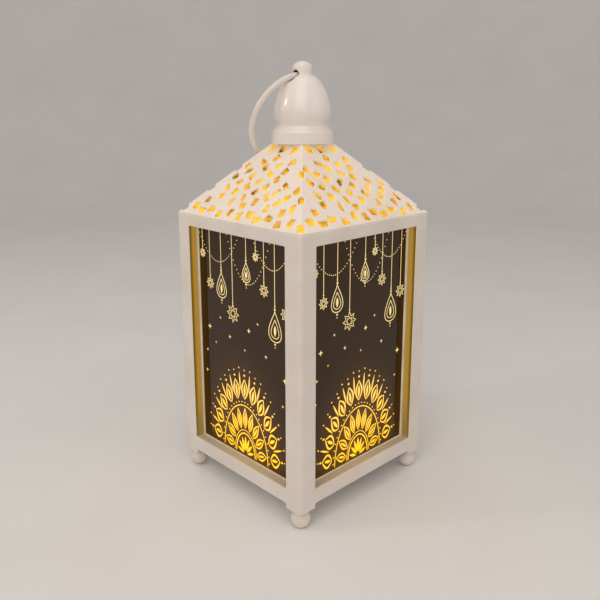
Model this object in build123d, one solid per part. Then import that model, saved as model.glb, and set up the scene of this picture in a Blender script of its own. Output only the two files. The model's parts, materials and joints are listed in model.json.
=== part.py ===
from build123d import *
from math import acos, atan2, cos, degrees, floor, hypot, sin, sqrt, tan
import os

# Table lantern: a moulded square frame with edge-lit acrylic panes, a pierced hip roof over a warm liner,
# a turned finial with a carrying ring, ball feet, and a base that holds the cells, the switch and the LEDs.
# Millimetres, +Z up. The origin is on the floor under the middle of the lantern, and the front faces -Y.

# Fits
fit_gap = 0.1           # between pieces that are pushed or bonded together
slide_gap = 0.3         # between pieces that move on each other

# Feet
foot_diameter = 11.4
foot_flat = 0.4         # how much of the ball is cut away where it stands
peg_diameter = 4.0
peg_length = 6.0

# Frame
body_width = 110.0
frame_height = 159.0
post_size = 12.0
post_edge_radius = 2.4
upper_rail_height = 7.0
lower_rail_height = 9.0
lower_rail_lift = 3.0   # from the posts' lower ends to the lower rails
flange_thickness = 1.5
tongue_length = 3.0
tongue_height = 3.0
tongue_wall = 1.75      # left in a post between a tongue and the frame's outer face or the pane's groove

# Panes and the LEDs under them
pane_thickness = 2.0
pane_cover = 3.5        # of a post behind a pane
pane_entry = 2.0        # how far a pane reaches into the posts and the upper rail
pane_headroom = 0.5
led_board_inset = 5.0   # from the posts' inner faces
led_board_thickness = 0.8
pane_led_count = 3
pane_led_length = 2.0
pane_led_width = 1.4
pane_led_height = 0.7
pane_led_air = 0.5      # between the LEDs and the pane's lit edge

# Base
deck_thickness = 1.6
rim_thickness = 1.6
cover_thickness = 2.5
boss_diameter = 6.0
cover_screw_diameter = 2.5
cover_screw_grip = 5.5  # length inside the boss
cover_screw_head_diameter = 5.0
cover_screw_head_height = 1.5
recess_length = 3.0     # of the cross in a screw's head
recess_width = 0.7
recess_depth = 0.9

# Battery compartment
cell_count = 3
cell_diameter = 10.5
cell_length = 44.5
cell_nub_diameter = 3.8
cell_nub_length = 1.0
cell_gap = 0.5
box_wall = 1.4
box_setback = 2.0       # from the tray's rim at the back
contact_depth = 3.0     # from a cell's end to the box's wall
contact_thickness = 0.4
contact_width = 6.0
contact_height = 8.0
dimple_diameter = 3.0
door_thickness = 1.8
runner_reach = 1.2      # how far the cover's grooves reach past the door opening
runner_thickness = 0.6
runner_lip = 0.5        # cover left under a groove
grip_count = 3
grip_spacing = 2.4
grip_length = 18.0
grip_width = 1.0
grip_height = 0.5
grip_inset = 5.0        # from the door's outer end to the first grip rib

# Slide switch
switch_offset = 24.0    # from the middle of the base towards the front
switch_length = 13.0
switch_width = 6.0
switch_height = 4.5
switch_travel = 3.0
slider_foot_length = 6.0
slider_foot_width = 3.4
slider_foot_thickness = 1.2
slider_stem_length = 3.0
slider_stem_width = 2.4
slider_proud = 0.8      # below the cover

# Roof
roof_rise = 42.5
roof_top_width = 26.0
roof_thickness = 1.2
roof_seam = 0.05
eave_land = 0.5
eave_aperture_length = 4.7  # up the slope, in the zigzag row along the eave
eave_aperture_width = 5.8
eave_aperture_web = 2.6     # between the openings of that row
eave_aperture_height = 6.1  # up the slope, from the eave to the row's middle line
eave_zigzag = 1.1           # off that line, one opening up and the next one down
eave_lean = 30.0            # degrees either way from the slope's own line
top_aperture_length = 6.2   # up the slope, in the upright row under the finial
top_aperture_width = 4.8
top_aperture_web = 5.2
top_aperture_edge = 1.2     # between that row and the top of the face
top_lean = 10.0
hip_aperture_height = 5.2   # up the slope, to the lowest opening that is folded over a hip
hip_aperture_pitch = 16.9
aperture_length = 5.3       # of the other openings
aperture_width = 4.3
aperture_corner = 0.8       # radius of every opening's four corners
aperture_pitch = 8.0        # side of the square that each of the others has to itself
aperture_web = 1.3          # least width left beside the two rows and the openings on the hips
row_web = 0.1               # between the zigzag's middle line and the field, beyond half an opening of each
hip_web = 0.6               # between the field's ends and the hips
top_web = 0.3               # between the field and the row at the top
aperture_swell = 0.2        # share by which an opening is wider and shorter, or the other way round
aperture_lean = 65.0
corner_drift = 0.33         # share by which a corner is drawn out or in, which makes the openings uneven
field_start = 0.86          # share of the face's width at which the field's first opening stands
swell_rate = 1.1            # sines of an opening's number, times these rates, vary its outline and lean
lean_rate = 3.1
corner_rate = 1.3
liner_thickness = 0.8
cap_thickness = 3.2
ceiling_thickness = 1.5
roof_board_size = 30.0
roof_board_thickness = 1.2
roof_led_diameter = 5.0
roof_led_height = 6.0
roof_led_spacing = 16.0

# Lead from the base to the roof's LED board
lead_diameter = 2.0
lead_bend = 5.0
lead_inset = 2.5        # from the posts' inner faces to the lead's axis

# Finial
collar_diameter = 37.9
collar_height = 6.25
collar_draft = 0.35
flare_height = 4.05
groove_diameter = 31.1
groove_height = 1.6
bell_diameter = 34.5
bell_skirt = 6.4        # from the groove up to the bell's widest line
skirt_swell = 0.9       # how far the skirt leans out over its lowest third
bell_rise = 21.0        # from the widest line up to the knob
bell_straight = 4.2     # how far the outline holds to the upright above the widest line
shoulder_reach = 7.3    # where the bell's top would end if it kept its slope at the knob
shoulder_drop = 2.2
knob_diameter = 11.8
knob_height = 8.2
knob_dome = 4.2
finial_wall = 2.0
finial_boss_diameter = 8.0
finial_screw_diameter = 3.0
finial_screw_grip = 10.0
finial_screw_head_diameter = 5.6
finial_screw_head_height = 2.0

# Carrying ring
ring_diameter = 55.0    # at the middle of the wire
wire_diameter = 3.4
hole_lift = 0.3         # from the knob's foot up to the middle of the cross hole

# Levels and distances from the middle that several pieces share
half = body_width / 2
post_inner = half - post_size
post_middle = half - post_size / 2
post_bottom = foot_diameter - foot_flat
frame_top = post_bottom + frame_height
window_top = frame_top - upper_rail_height
rail_bottom = post_bottom + lower_rail_lift
ledge_top = rail_bottom + lower_rail_height
flange_top = rail_bottom + flange_thickness
cover_bottom = rail_bottom - cover_thickness
deck_bottom = ledge_top - deck_thickness
pane_back = post_inner + pane_cover
pane_front = pane_back + pane_thickness
pane_bottom = flange_top + led_board_thickness + pane_led_height + pane_led_air
pane_top = window_top + pane_entry
tray_reach = pane_back - fit_gap
base_arm = post_inner - fit_gap
lead_place = post_inner - lead_inset

box_half_length = cell_length / 2 + contact_depth
box_side = box_half_length + box_wall
boss_place = (box_side + post_inner) / 2
box_depth = cell_count * cell_diameter + (cell_count + 1) * cell_gap
box_back = tray_reach - rim_thickness - box_setback - box_wall
box_front = box_back - box_depth
door_top = cover_bottom + door_thickness
cell_level = door_top + slide_gap + cell_diameter / 2
box_ceiling = cell_level + cell_diameter / 2 + cell_gap

roof_run = half - roof_top_width / 2
roof_top = frame_top + roof_rise
slope = atan2(roof_rise, roof_run)
slope_length = hypot(roof_rise, roof_run)
top_row_foot = slope_length - top_aperture_edge - top_aperture_length
ceiling_top = frame_top + ceiling_thickness
roof_board_top = ceiling_top + roof_board_thickness

groove_bottom = roof_top + collar_height + flare_height
groove_top = groove_bottom + groove_height
bell_level = groove_top + bell_skirt
knob_bottom = bell_level + bell_rise
finial_top = knob_bottom + knob_height

hole_level = knob_bottom + hole_lift

# The ring hangs from the hole and leans on the left roof face: its lowest point lies half a wire and a gap
# off that face. ring_lean is the angle between the ring's plane and the upright.
seat_distance = (hole_level - roof_top) * cos(slope) - roof_top_width / 2 * sin(slope)
ring_lean = degrees(acos((seat_distance - wire_diameter / 2 - slide_gap) / ring_diameter) - slope)


def block(low, high):
    """Block between two opposite corners."""
    size = [b - a for a, b in zip(low, high)]
    middle = [(a + b) / 2 for a, b in zip(low, high)]
    return Pos(*middle) * Box(*size)


def rod(x, y, bottom, top, diameter):
    """Upright round bar between two levels."""
    return Pos(x, y, (bottom + top) / 2) * Cylinder(diameter / 2, top - bottom)


def swapped(corner):
    """The corner mirrored across the diagonal of the plan."""
    return (corner[1], corner[0], corner[2])


def roof_half(level, depth):
    """Half the width of the surface that lies depth below the roof's outer face, at a level."""
    return half - (level - frame_top) / tan(slope) - depth / sin(slope)


def roof_slice(bottom, top, depth):
    """Solid slice of the roof's pyramid between two levels, depth below the outer face."""
    width = 2 * roof_half(bottom, depth)
    return extrude(Pos(0, 0, bottom) * Rectangle(width, width), top - bottom, taper=90 - degrees(slope))


def cross_plate(reach, bottom, top):
    """Square plate whose corners are cut back to clear the posts."""
    low, high = (-base_arm, -reach, bottom), (base_arm, reach, top)
    return block(low, high) + block(swapped(low), swapped(high))


def around(piece, turns=4):
    """Copies of a piece at quarter turns about the lantern's axis."""
    return [Rot(0, 0, 90 * turn) * piece for turn in range(turns)]


# Frame

def tongue_corners(level, gap):
    """Corners of the tongue at a rail's left end, at the rail's middle level, with a gap around it."""
    low = (-post_inner - tongue_length - gap, -half + tongue_wall - gap, level - tongue_height / 2 - gap)
    high = (-post_inner, -pane_front - tongue_wall + gap, level + tongue_height / 2 + gap)
    return low, high


lower_rail_middle = (rail_bottom + ledge_top) / 2
upper_rail_middle = (window_top + frame_top) / 2


def with_tongues(rail, level):
    """A front rail with its tongue at each end."""
    tongue = block(*tongue_corners(level, 0))
    return rail + tongue + mirror(tongue, about=Plane.YZ)


def post():
    """Front left post, with grooves for two panes, sockets for four tongues and a hole for its foot."""
    body = block((-half, -half, post_bottom), (-post_inner, -post_inner, frame_top))
    corner = body.edges().filter_by(Axis.Z).sort_by(lambda edge: edge.center().X + edge.center().Y)[0]
    body = fillet(corner, post_edge_radius)
    groove_low = (-post_inner - pane_entry - fit_gap, -pane_front - fit_gap, pane_bottom)
    groove_high = (-post_inner, -pane_back + fit_gap, frame_top)
    cuts = [(groove_low, groove_high)]
    for level in (lower_rail_middle, upper_rail_middle):
        cuts.append(tongue_corners(level, fit_gap))
    for low, high in cuts:
        body -= block(low, high)
        body -= block(swapped(low), swapped(high))
    hole_top = post_bottom + peg_length + slide_gap
    return body - rod(-post_middle, -post_middle, post_bottom, hole_top, peg_diameter + 2 * fit_gap)


def upper_rail():
    """Front upper rail, grooved below for the pane's upper edge."""
    bar = block((-post_inner, -half, window_top), (post_inner, -post_inner - fit_gap, frame_top))
    low = (-post_inner, -pane_front - fit_gap, window_top)
    high = (post_inner, -pane_back + fit_gap, pane_top + pane_headroom)
    return with_tongues(bar - block(low, high), upper_rail_middle)


def lower_rail():
    """Front lower rail, with a flange that carries the LED board and the base tray."""
    back = -pane_front - fit_gap
    bar = block((-post_inner, -half, rail_bottom), (post_inner, back, ledge_top))
    flange = block((-post_inner, back, rail_bottom), (post_inner, -post_inner - fit_gap, flange_top))
    return with_tongues(bar + flange, lower_rail_middle)


def pane():
    """Front pane, standing on the ends of the posts' grooves."""
    side = post_inner + pane_entry
    return block((-side, -pane_front, pane_bottom), (side, -pane_back, pane_top))


def foot():
    """Front left ball foot, cut flat where it stands, with a peg that goes up into the post."""
    centre = foot_diameter / 2 - foot_flat
    ball = Pos(-post_middle, -post_middle, centre) * Sphere(foot_diameter / 2)
    peg = rod(-post_middle, -post_middle, centre, post_bottom + peg_length, peg_diameter)
    waste = block((-half, -half, -foot_diameter), (-post_inner, -post_inner, 0))
    return ball + peg - waste


# Base

def base_tray():
    """Tray whose deck closes the base, with rims behind the panes and bosses for the cover's screws."""
    tray = cross_plate(tray_reach, deck_bottom, ledge_top)
    rim = block((-base_arm, -tray_reach, flange_top), (base_arm, -tray_reach + rim_thickness, deck_bottom))
    boss = rod(-boss_place, -boss_place, rail_bottom, deck_bottom, boss_diameter)
    pilot_top = rail_bottom + cover_screw_grip + fit_gap
    boss -= rod(-boss_place, -boss_place, rail_bottom, pilot_top, cover_screw_diameter + 2 * fit_gap)
    for piece in around(rim) + around(boss):
        tray += piece
    side = box_side + fit_gap
    low = (-side, box_front - box_wall - fit_gap, deck_bottom)
    return tray - block(low, (side, box_back + box_wall + fit_gap, ledge_top))


def bottom_cover():
    """Cover under the base, open at the back for the battery door, with grooves for the door's runners."""
    cover = cross_plate(pane_back, cover_bottom, rail_bottom)
    opening_low = (-box_half_length, box_front, cover_bottom)
    cover -= block(opening_low, (box_half_length, pane_back, rail_bottom))
    groove_side = box_half_length + runner_reach
    groove_low = cover_bottom + runner_lip
    groove_high = groove_low + runner_thickness + 2 * slide_gap
    cover -= block((-groove_side, box_front, groove_low), (groove_side, pane_back, groove_high))
    slot_length = slider_stem_length / 2 + switch_travel / 2 + slide_gap
    slot_width = slider_stem_width / 2 + slide_gap
    slot_low = (-slot_length, -switch_offset - slot_width, cover_bottom)
    cover -= block(slot_low, (slot_length, -switch_offset + slot_width, rail_bottom))
    hole = rod(-boss_place, -boss_place, cover_bottom, rail_bottom, cover_screw_diameter + 2 * fit_gap)
    for piece in around(hole):
        cover -= piece
    return cover


def cover_screw():
    """Cross-recessed screw that holds the cover to the tray's front left boss."""
    head_bottom = cover_bottom - cover_screw_head_height
    screw = rod(0, 0, head_bottom, cover_bottom, cover_screw_head_diameter)
    screw += rod(0, 0, cover_bottom, rail_bottom + cover_screw_grip, cover_screw_diameter)
    low = (-recess_length / 2, -recess_width / 2, head_bottom)
    high = (recess_length / 2, recess_width / 2, head_bottom + recess_depth)
    screw -= block(low, high) + block(swapped(low), swapped(high))
    return Pos(-boss_place, -boss_place, 0) * screw


def led_board():
    """LED board on the front lower rail's flange, under the pane's lit edge."""
    side = post_inner - led_board_inset
    return block((-side, -pane_front, flange_top), (side, -pane_back, flange_top + led_board_thickness))


def pane_leds():
    """LEDs evenly along the front board."""
    middle = -(pane_front + pane_back) / 2
    low = (-pane_led_length / 2, middle - pane_led_width / 2, flange_top + led_board_thickness)
    high = (pane_led_length / 2, middle + pane_led_width / 2, low[2] + pane_led_height)
    spacing = 2 * (post_inner - led_board_inset) / pane_led_count
    places = [(index - (pane_led_count - 1) / 2) * spacing for index in range(pane_led_count)]
    return [Pos(place, 0, 0) * block(low, high) for place in places]


# Battery compartment

def battery_box():
    """Box over the door opening, open below."""
    low = (-box_side, box_front - box_wall, rail_bottom)
    outside = block(low, (box_side, box_back + box_wall, box_ceiling + box_wall))
    room_low = (-box_half_length, box_front, rail_bottom)
    return outside - block(room_low, (box_half_length, box_back, box_ceiling))


def battery_door():
    """Door that slides out at the back on two runners, with ribs for a fingertip."""
    side = box_half_length - slide_gap
    front = box_front + slide_gap
    door = block((-side, front, cover_bottom), (side, pane_back, door_top))
    runner_side = box_half_length + runner_reach - slide_gap
    runner_bottom = cover_bottom + runner_lip + slide_gap
    runner_top = runner_bottom + runner_thickness
    door += block((-runner_side, front, runner_bottom), (runner_side, pane_back, runner_top))
    for index in range(grip_count):
        back = pane_back - grip_inset - index * grip_spacing
        low = (-grip_length / 2, back - grip_width, cover_bottom - grip_height)
        door += block(low, (grip_length / 2, back, cover_bottom))
    return door


def lying_rod(start, end, diameter):
    """Round bar along X at the cells' level, between two places on X."""
    return Pos((start + end) / 2, 0, cell_level) * Rot(0, 90, 0) * Cylinder(diameter / 2, end - start)


def cell():
    """Cell with its positive nub towards +X."""
    shoulder = cell_length / 2 - cell_nub_length
    body = lying_rod(-cell_length / 2, shoulder, cell_diameter)
    return body + lying_rod(shoulder, cell_length / 2, cell_nub_diameter)


def contact_plate():
    """Flat contact on the box's end wall, with a dimple that meets the cell's nub."""
    wall = box_half_length
    low = (wall - contact_thickness, -contact_width / 2, cell_level - contact_height / 2)
    plate = block(low, (wall, contact_width / 2, cell_level + contact_height / 2))
    return plate + lying_rod(cell_length / 2, wall - contact_thickness, dimple_diameter)


def contact_leaf():
    """Leaf spring folded from a strip: up the end wall, over, and out in a V to the cell's flat end."""
    wall = -box_half_length
    tip = -cell_length / 2
    low, high = cell_level - contact_height / 2, cell_level + contact_height / 2
    strip = contact_thickness
    outline = Polygon(
        (wall, low),
        (wall, high),
        (wall + strip, high),
        (tip, cell_level + strip),
        (tip, cell_level - strip),
        (wall + 3 * strip, low + strip),
        (wall + 2 * strip, low + strip),
        (tip - 2 * strip, cell_level),
        (wall + strip, high - 3 * strip),
        (wall + strip, low),
        align=None,
    )
    return extrude(Plane.XZ * outline, contact_width / 2, both=True)


def in_each_cell_bay(piece):
    """Copies of a piece in the cells' bays, every second one turned end for end."""
    copies = []
    for index in range(cell_count):
        y = box_front + cell_gap + cell_diameter / 2 + index * (cell_diameter + cell_gap)
        copies.append(Pos(0, y, 0) * Rot(0, 0, 180 * (index % 2)) * piece)
    return copies


# Slide switch

def switch_housing():
    """Housing on the cover's upper face, open below over the slider's foot."""
    low = (-switch_length / 2, -switch_offset - switch_width / 2, rail_bottom)
    high = (switch_length / 2, -switch_offset + switch_width / 2, rail_bottom + switch_height)
    room_length = slider_foot_length / 2 + switch_travel / 2 + slide_gap
    room_width = slider_foot_width / 2 + slide_gap
    room_low = (-room_length, -switch_offset - room_width, rail_bottom)
    room_top = rail_bottom + slider_foot_thickness + 2 * slide_gap
    return block(low, high) - block(room_low, (room_length, -switch_offset + room_width, room_top))


def switch_slider():
    """Slider at the on end of its travel, with its stem through the cover."""
    foot_bottom = rail_bottom + slide_gap
    foot_low = (-slider_foot_length / 2, -slider_foot_width / 2, foot_bottom)
    foot_high = (slider_foot_length / 2, slider_foot_width / 2, foot_bottom + slider_foot_thickness)
    stem_low = (-slider_stem_length / 2, -slider_stem_width / 2, cover_bottom - slider_proud)
    stem_high = (slider_stem_length / 2, slider_stem_width / 2, foot_bottom)
    slider = block(foot_low, foot_high) + block(stem_low, stem_high)
    return Pos(-switch_travel / 2, -switch_offset, 0) * slider


# Roof

def core(width, length, shares=(1, 1, 1, 1)):
    """Middles of an opening's four rounded corners, each drawn out or in by its share."""
    x, y = width / 2 - aperture_corner, length / 2 - aperture_corner
    corners = ((x, -y), (x, y), (-x, y), (-x, -y))
    return [(share * a, share * b) for share, (a, b) in zip(shares, corners)]


def varied(index, across, up, lean, width, length):
    """An uneven opening whose outline and lean vary with its number: place, degrees and corners."""
    swell = 1 + aperture_swell * sin(swell_rate * index)
    shares = [1 + corner_drift * sin(corner_rate * (4 * index + corner)) for corner in range(4)]
    return across, up, lean * sin(lean_rate * index), core(width * swell, length / swell, shares)


def hip_apertures():
    """Openings folded over the two hips, whose halves meet the next face's."""
    openings = []
    for step in range(floor((top_row_foot - hip_aperture_height) / hip_aperture_pitch) + 1):
        up = hip_aperture_height + step * hip_aperture_pitch
        width = eave_aperture_width if step == 0 else aperture_width
        for side in (-1, 1):
            lean = side * degrees(atan2(cos(slope), 1))
            openings.append((side * (half - up * cos(slope)), up, lean, core(width, aperture_length)))
    return openings


def aperture_row(height, zigzag, lean, width, length, web, end):
    """Row of openings across a face, one up and the next one down, whose middles stay clear of the hips."""
    pitch = width + web
    count = floor(2 * (half - height * cos(slope) - end) / pitch) + 1
    openings = []
    for index in range(count):
        across = (index - (count - 1) / 2) * pitch
        openings.append(varied(index, across, height + zigzag * (-1) ** index, lean, width, length))
    return openings


def eave_apertures():
    """Zigzag row of larger openings along the eave."""
    width, web = eave_aperture_width, eave_aperture_web
    return aperture_row(
        eave_aperture_height, eave_zigzag, eave_lean, width, eave_aperture_length, web, width + web)


def top_apertures():
    """Level row of upright openings close under the finial."""
    height = top_row_foot + top_aperture_length / 2
    end = top_aperture_width / 2 + hip_web
    return aperture_row(
        height, 0, top_lean, top_aperture_width, top_aperture_length, top_aperture_web, end)


def apertures():
    """Place, turn and corners of each opening in a roof face.

    Between the two rows and the openings on the hips is a field like the seeds of a sunflower: its openings
    go up the slope by equal areas and across it by the golden ratio, so they are evenly spread without rows.
    Those that come too close to the others are left out.
    """
    openings = hip_apertures() + eave_apertures() + top_apertures()
    low = eave_aperture_height + (eave_aperture_length + aperture_length) / 2 + row_web
    rise = top_row_foot - top_web - aperture_length / 2 - low
    edge = aperture_length / 2 + hip_web
    wide = half - low * cos(slope) - edge
    area = wide * rise - cos(slope) * rise**2 / 2
    count = floor(2 * area / aperture_pitch**2)
    golden_ratio = (sqrt(5) - 1) / 2
    field = []
    for index in range(count):
        share = (index + 0.5) / count
        up = low + (wide - sqrt(wide**2 - 2 * cos(slope) * share * area)) / cos(slope)
        reach = half - up * cos(slope) - edge
        across = (2 * ((golden_ratio * index + field_start) % 1) - 1) * reach
        nearest = min(hypot(across - other[0], up - other[1]) for other in openings)
        if nearest > aperture_length + aperture_web:
            field.append(varied(index, across, up, aperture_lean, aperture_width, aperture_length))
    return openings + field


def roof_panel():
    """Front roof panel: a pierced sheet on the slope, mitred at the hips and cut level at both ends."""
    over = slope_length + roof_thickness
    over_half = half - over * cos(slope)
    outline = Polygon((-half, 0), (half, 0), (over_half, over), (-over_half, over), align=None)
    for across, up, lean, corners in apertures():
        outline -= Pos(across, up) * Rot(0, 0, lean) * offset(Polygon(*corners, align=None), aperture_corner)
    roof_plane = Plane(origin=(0, -half, frame_top), x_dir=(1, 0, 0), z_dir=(0, -sin(slope), cos(slope)))
    sheet = extrude(roof_plane * outline, -roof_thickness)
    eave = half - eave_land
    quarter = Polygon((0, -roof_seam), (roof_seam - eave, -eave), (eave - roof_seam, -eave), align=None)
    return sheet & extrude(Pos(0, 0, frame_top) * quarter, roof_rise)


liner_depth = roof_thickness + slide_gap


def roof_liner():
    """Four-sided liner close behind the panels, from the upper rails to the finial."""
    inside = roof_slice(frame_top, roof_top, liner_depth + liner_thickness)
    return roof_slice(frame_top, roof_top, liner_depth) - inside


def roof_cap():
    """Plug inside the liner at the top of the roof, with the finial screw's hole."""
    plug = roof_slice(roof_top - cap_thickness, roof_top, liner_depth + liner_thickness + fit_gap)
    return plug - rod(0, 0, roof_top - cap_thickness, roof_top, finial_screw_diameter + 2 * fit_gap)


def ceiling_plate():
    """Plate on the upper rails inside the liner, with a slot where the lead comes up."""
    reach = roof_half(ceiling_top, liner_depth + liner_thickness + fit_gap)
    plate = block((-reach, -reach, frame_top), (reach, reach, ceiling_top))
    play = lead_diameter / 2 + 2 * slide_gap
    low = (-lead_place - play, lead_place - lead_bend - play, frame_top)
    return plate - block(low, (-lead_place + play, lead_place + play, ceiling_top))


def roof_board():
    """LED board in the middle of the ceiling plate."""
    side = roof_board_size / 2
    return block((-side, -side, ceiling_top), (side, side, roof_board_top))


def roof_led():
    """Domed LED on the roof's board."""
    place = roof_led_spacing / 2
    dome_level = roof_board_top + roof_led_height - roof_led_diameter / 2
    stem = rod(-place, -place, roof_board_top, dome_level, roof_led_diameter)
    return stem + Pos(-place, -place, dome_level) * Sphere(roof_led_diameter / 2)


def roof_lead():
    """Lead from the roof's board over the ceiling plate, down by the back left post, to the battery box."""
    upper = ceiling_top + lead_diameter / 2
    lower = ledge_top + fit_gap + lead_diameter / 2
    route = [
        (-roof_board_size / 2, 0, upper),
        (-lead_place, 0, upper),
        (-lead_place, lead_place, upper),
        (-lead_place, lead_place, lower),
        (-box_side, lead_place, lower),
    ]
    last_run = lead_place - box_side
    path = FilletPolyline(*route, radius=min(lead_bend, last_run - lead_diameter / 2))
    section = Plane(origin=path @ 0, z_dir=path % 0) * Circle(lead_diameter / 2)
    return sweep(section, path=path)


# Finial and ring

def finial():
    """Turned finial: collar, flare, groove, bell and knob, hollow around a boss for its screw."""
    collar = collar_diameter / 2
    groove = groove_diameter / 2
    bell = bell_diameter / 2
    knob = knob_diameter / 2
    collar_top = roof_top + collar_height
    dome_level = finial_top - knob_dome
    skirt_third = bell_skirt / 3
    quarter_turn = 0.5523  # how far a Bezier's handles reach along the sides of a quarter ellipse
    outline = Polyline(
        (0, finial_top),
        (0, roof_top),
        (collar, roof_top),
        (collar - collar_draft, collar_top),
        (groove, groove_bottom),
        (groove, groove_top),
    )
    outline += Bezier(
        (groove, groove_top),
        (groove + skirt_swell, groove_top + skirt_third),
        (bell, bell_level - skirt_third),
        (bell, bell_level),
    )
    outline += Bezier(
        (bell, bell_level),
        (bell, bell_level + bell_straight),
        (knob + shoulder_reach, knob_bottom - shoulder_drop),
        (knob, knob_bottom),
    )
    outline += Line((knob, knob_bottom), (knob, dome_level))
    outline += Bezier(
        (knob, dome_level),
        (knob, dome_level + quarter_turn * knob_dome),
        (quarter_turn * knob, finial_top),
        (0, finial_top),
    )
    body = revolve(make_face(Plane.XZ * outline), Axis.Z)

    boss = finial_boss_diameter / 2
    cavity_top = knob_bottom - 2 * finial_wall
    cavity = Polygon(
        (boss, roof_top),
        (groove - finial_wall, roof_top),
        (groove - finial_wall, bell_level),
        (boss + finial_wall, cavity_top),
        (boss, cavity_top),
        align=None,
    )
    body -= revolve(Plane.XZ * cavity, Axis.Z)
    pilot_top = roof_top + finial_screw_grip + fit_gap
    body -= rod(0, 0, roof_top, pilot_top, finial_screw_diameter + 2 * fit_gap)
    return body - ring_way()


def ring_way():
    """Flared cross hole: the room that the bowed wire and its gap take up at any angle about the hinge."""
    throat = wire_diameter / 2 + slide_gap
    end = knob_diameter
    mouth = ring_diameter / 2 - sqrt((ring_diameter / 2 - throat) ** 2 - end**2)
    outline = Polyline((mouth, end), (0, end), (0, -end), (mouth, -end))
    outline += ThreePointArc((mouth, -end), (throat, 0), (mouth, end))
    return Pos(0, 0, hole_level) * Rot(90, 0, 0) * revolve(make_face(Plane.XZ * outline), Axis.Z)


def finial_screw():
    """Screw up through the roof cap into the finial's boss."""
    seat = roof_top - cap_thickness
    head = rod(0, 0, seat - finial_screw_head_height, seat, finial_screw_head_diameter)
    return head + rod(0, 0, seat, roof_top + finial_screw_grip, finial_screw_diameter)


def carry_ring():
    """Wire ring through the knob, leaning on the left roof face."""
    ring = Pos(-ring_diameter / 2, 0, 0) * Torus(ring_diameter / 2, wire_diameter / 2)
    return Pos(0, 0, hole_level) * Rot(0, ring_lean - 90, 0) * ring


# Every node, by name
nodes = {
    "base_tray": [base_tray()],
    "bottom_cover": [bottom_cover()],
    "cover_screws": around(cover_screw()),
    "pane_leds": [Rot(0, 0, 90 * turn) * led for turn in range(4) for led in pane_leds()],
    "battery_box": [battery_box()],
    "battery_door": [battery_door()],
    "contact_plates": in_each_cell_bay(contact_plate()),
    "contact_leaves": in_each_cell_bay(contact_leaf()),
    "switch_housing": [switch_housing()],
    "switch_slider": [switch_slider()],
    "roof_liner": [roof_liner()],
    "roof_cap": [roof_cap()],
    "ceiling_plate": [ceiling_plate()],
    "roof_led_board": [roof_board()],
    "roof_leds": around(roof_led()),
    "roof_lead": [roof_lead()],
    "finial": [finial()],
    "finial_screw": [finial_screw()],
    "carry_ring": [carry_ring()],
}
for index, copy in enumerate(in_each_cell_bay(cell())):
    nodes[f"battery_cell_{index + 1}"] = [copy]
corner_pieces = {"post": post(), "foot": foot()}
for name, piece in corner_pieces.items():
    for corner, copy in zip(("front_left", "front_right", "back_right", "back_left"), around(piece)):
        nodes[f"{name}_{corner}"] = [copy]
side_pieces = {
    "upper_rail": upper_rail(),
    "lower_rail": lower_rail(),
    "pane": pane(),
    "led_board": led_board(),
    "roof_panel": roof_panel(),
}
for name, piece in side_pieces.items():
    for side, copy in zip(("front", "right", "back", "left"), around(piece)):
        nodes[f"{name}_{side}"] = [copy]

os.makedirs("parts", exist_ok=True)
for name, copies in nodes.items():
    solids = [solid for copy in copies for solid in copy.solids()]
    export_step(solids[0] if len(solids) == 1 else Compound(children=solids), f"parts/{name}.step")

print(f"{len(nodes)} nodes, {len(apertures())} openings in each roof face, {finial_top:.2f} high")
ring_swing = 2 * (180 - ring_lean)
print(f"ring hinge at level {hole_level:.3f}, lean {ring_lean:.3f}, swing {ring_swing:.3f} degrees")
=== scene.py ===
# %% [markdown]
# # A table lantern with lit panes
#
# The lantern is a white moulded frame around four sheets of smoked acrylic. Light enters each sheet at its
# lower edge and shows only where the sheet is engraved. A pierced roof glows from inside, and a turned finial
# carries a wire ring. The CAD model is loaded first, as a fixed frame that gives the sizes of all the rest.

# %% Load the frame
import json
import bmesh
import bpy
import numpy as np
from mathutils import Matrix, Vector


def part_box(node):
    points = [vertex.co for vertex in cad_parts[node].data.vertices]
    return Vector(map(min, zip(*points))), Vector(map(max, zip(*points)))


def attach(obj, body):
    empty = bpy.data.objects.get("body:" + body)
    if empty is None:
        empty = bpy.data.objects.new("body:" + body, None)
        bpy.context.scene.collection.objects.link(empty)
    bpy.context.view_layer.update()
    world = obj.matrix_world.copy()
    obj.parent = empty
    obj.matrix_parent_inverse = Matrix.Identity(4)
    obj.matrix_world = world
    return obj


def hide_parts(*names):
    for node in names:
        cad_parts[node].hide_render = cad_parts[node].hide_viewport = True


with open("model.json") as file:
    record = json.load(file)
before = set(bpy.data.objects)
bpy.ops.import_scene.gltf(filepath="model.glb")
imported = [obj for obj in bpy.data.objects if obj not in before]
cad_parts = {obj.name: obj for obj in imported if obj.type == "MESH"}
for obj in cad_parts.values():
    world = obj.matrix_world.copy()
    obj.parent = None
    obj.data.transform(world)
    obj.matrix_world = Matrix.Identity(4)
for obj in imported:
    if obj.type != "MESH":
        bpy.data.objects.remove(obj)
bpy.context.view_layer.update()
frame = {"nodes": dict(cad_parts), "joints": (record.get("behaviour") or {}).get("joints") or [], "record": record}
mm = 0.001
sides = ("front", "right", "back", "left")
corners = ("front_left", "front_right", "back_right", "back_left")

# %% [markdown]
# ## Meshes from whole arrays
#
# Every new piece is worked out as numpy arrays and handed to Blender in one go, which is quick and keeps each
# formula in one place. The front of the lantern faces -Y, and its other sides are quarter turns of the front.

# %% Grids


def turned(points, quarters):
    """Points after so many quarter turns about the upright axis: each turn takes (x, y) to (-y, x)."""
    flat = (points[..., 0] + 1j * points[..., 1]) * 1j ** quarters
    return np.stack([flat.real, flat.imag, points[..., 2]], -1)


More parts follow.
